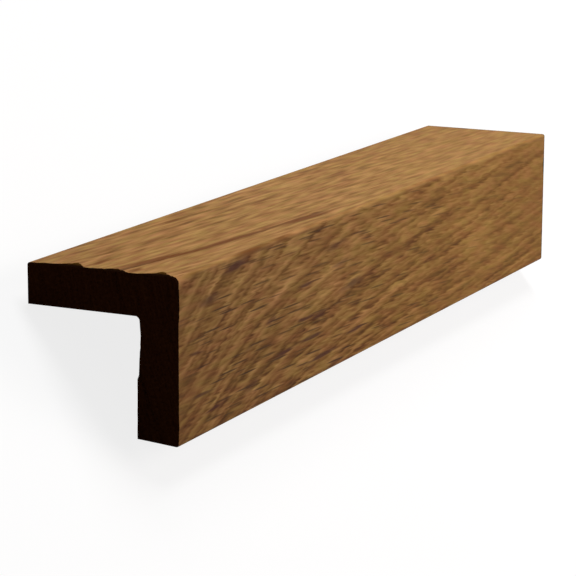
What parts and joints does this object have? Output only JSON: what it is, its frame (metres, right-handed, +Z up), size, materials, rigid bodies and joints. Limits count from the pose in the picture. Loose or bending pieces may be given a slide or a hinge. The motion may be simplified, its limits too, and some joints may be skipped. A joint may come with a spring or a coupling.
{
  "type": "corner guard moulding",
  "caption": "Solid red oak L-section corner guard moulding that covers and protects the outside corner of a wall.",
  "frame": {"origin": "on the floor under the middle of the stick, at the centre of its bounding box's base", "axes": "+Z up through the outer corner, +Y along the stick and its grain, away from the near sawn end; +X towards the right leg. Left and right are as seen along +Y, from the near end"},
  "size_m": [0.0356, 0.1524, 0.0224],
  "materials": {
    "red_oak": "sanded, unfinished red oak with dark sawn ends"
  },
  "bodies": {
    "root": {"corner_guard": "red_oak"}
  },
  "joints": []
}
